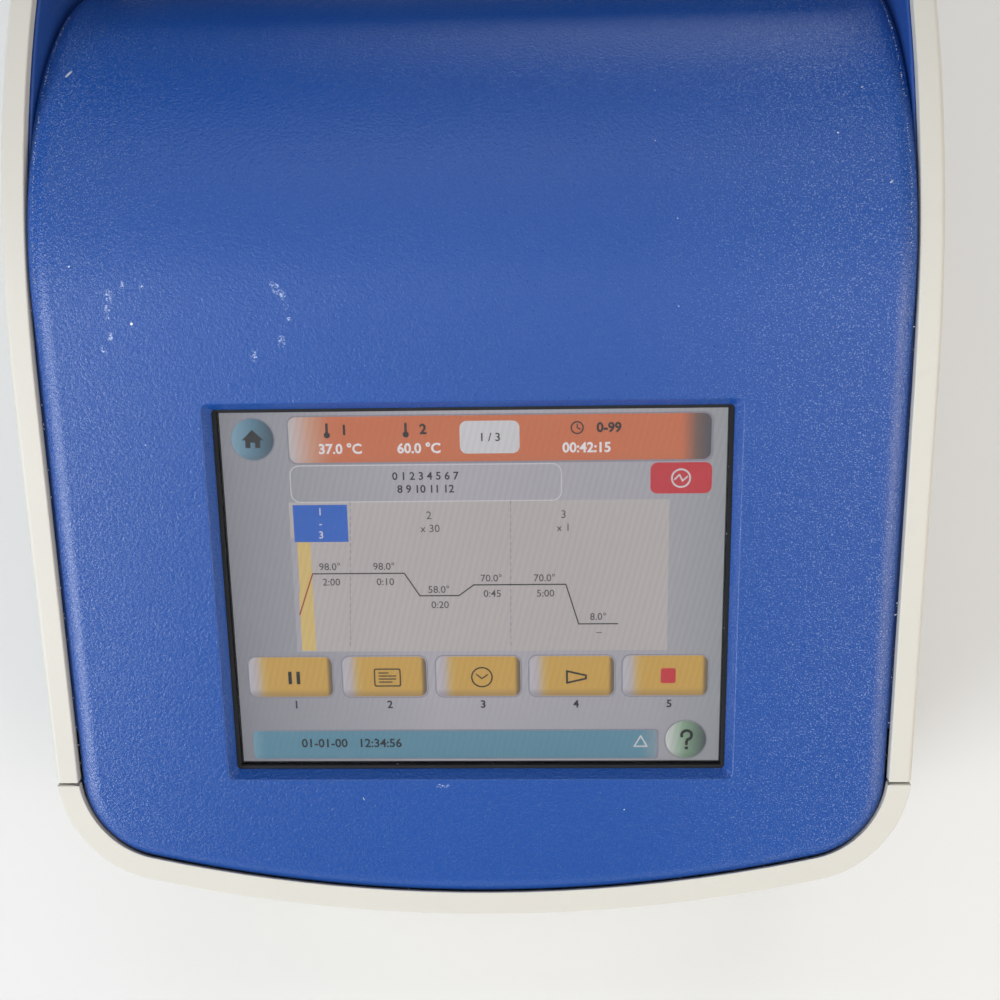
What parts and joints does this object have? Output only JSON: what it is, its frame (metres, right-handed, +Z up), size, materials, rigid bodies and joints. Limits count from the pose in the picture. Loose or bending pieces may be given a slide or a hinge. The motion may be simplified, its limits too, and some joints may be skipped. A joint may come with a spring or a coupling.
{
  "type": "thermal cycler",
  "caption": "Bench-top thermal cycler: wedge-nosed casing, tilted blue control panel with a colour touch screen, and a hinged, levered lid over a 96-well block.",
  "frame": {"origin": "middle of the instrument's footprint on the bench, under its feet", "axes": "+X to the operator's right, +Y from the front nose to the rear panel, +Z up"},
  "size_m": [0.237, 0.485, 0.245],
  "materials": {
    "casing_rim": "fine matt moulding",
    "lid_shell": "fine matt moulding",
    "panel_blue": "blue lacquer with a fine bright grain",
    "lever_blue": "dark blue moulding",
    "dark_plastic": "matt",
    "glass": "clear touch glass",
    "display": "lit display",
    "gasket": "soft foam",
    "sheet_steel": "zinc-plated sheet",
    "steel": "turned",
    "rear_sheet": "powder coat",
    "aluminium": "machined",
    "block_silver": "silver plated and polished",
    "silicone": "soft",
    "rubber": "soft",
    "board_green": "solder mask",
    "ceramic": "plain",
    "fuse_glass": "clear"
  },
  "bodies": {
    "base": {"front_bumper": "casing_rim", "side_panel_left": "casing_rim", "side_panel_right": "casing_rim", "front_panel": "panel_blue", "screen_gasket": "gasket", "touch_glass": "glass", "lcd_module": "display", "screen_bracket": "sheet_steel", "bracket_screws": "steel", "display_board": "board_green", "lid_well": "panel_blue", "chassis_deck": "sheet_steel", "chassis_side_left": "sheet_steel", "chassis_side_right": "sheet_steel", "sample_block": "block_silver", "block_seal": "silicone", "peltier_modules": "ceramic", "heat_sink": "aluminium", "sink_posts": "steel", "air_duct": "dark_plastic", "fan_frame": "dark_plastic", "base_pan": "sheet_steel", "rubber_feet": "rubber", "rear_panel": "rear_sheet", "rear_top_cover": "casing_rim", "hinge_bracket_left": "sheet_steel", "hinge_bracket_right": "sheet_steel", "hinge_pin_left": "steel", "hinge_pin_right": "steel", "latch_strike_left": "sheet_steel", "latch_strike_right": "sheet_steel", "power_supply": "dark_plastic", "main_board": "board_green", "board_standoffs": "steel", "socket_board": "board_green", "network_socket": "dark_plastic", "usb_sockets": "dark_plastic", "mains_inlet": "dark_plastic", "rocker_frame": "dark_plastic", "cover_screws": "steel"},
    "lid": {"lid_cover": "lid_shell", "lid_liner": "dark_plastic", "lid_frame": "aluminium", "bow_springs": "steel"},
    "platen": {"heated_plate": "aluminium", "plate_carrier": "dark_plastic", "heater_mat": "silicone", "guide_posts": "steel"},
    "handle": {"handle_lever": "lever_blue", "handle_axle": "steel"},
    "latch": {"latch_shaft": "steel", "latch_hook_left": "steel", "latch_hook_right": "steel"},
    "fan": {"fan_rotor": "dark_plastic"},
    "rocker": {"power_rocker": "dark_plastic"},
    "fuse": {"fuse_drawer": "dark_plastic", "mains_fuses": "fuse_glass"}
  },
  "joints": [
    {"name": "lid_hinge", "type": "hinge", "parent": "base", "child": "lid", "pos_m": [0, 0.197, 0.233], "axis": [-1, 0, 0], "range_deg": [0, 75]},
    {"name": "handle_pivot", "type": "hinge", "parent": "lid", "child": "handle", "pos_m": [0, 0.052, 0.236], "axis": [-1, 0, 0], "range_deg": [0, 35], "stiffness_Nm_per_rad": 0.3, "springref_deg": -17.19},
    {"name": "latch_pivot", "type": "hinge", "parent": "lid", "child": "latch", "pos_m": [0, 0.038, 0.203], "axis": [1, 0, 0], "range_deg": [0, 20]},
    {"name": "platen_float", "type": "slide", "parent": "lid", "child": "platen", "axis": [0, 0, 1], "range_m": [0, 0.005], "stiffness_N_per_m": 4000, "springref_m": -0.004, "deforming": ["bow_springs"]},
    {"name": "fan_spin", "type": "hinge", "parent": "base", "child": "fan", "pos_m": [0, 0.2235, 0.133], "axis": [0, 1, 0], "continuous": true},
    {"name": "rocker_tilt", "type": "hinge", "parent": "base", "child": "rocker", "pos_m": [-0.024, 0.237, 0.052], "axis": [-1, 0, 0], "range_deg": [0, 14]},
    {"name": "fuse_slide", "type": "slide", "parent": "base", "child": "fuse", "axis": [0, 1, 0], "range_m": [0, 0.022]}
  ],
  "couplings": [
    {"joint": "latch_pivot", "follows": "handle_pivot", "ratio": 0.5714}
  ]
}
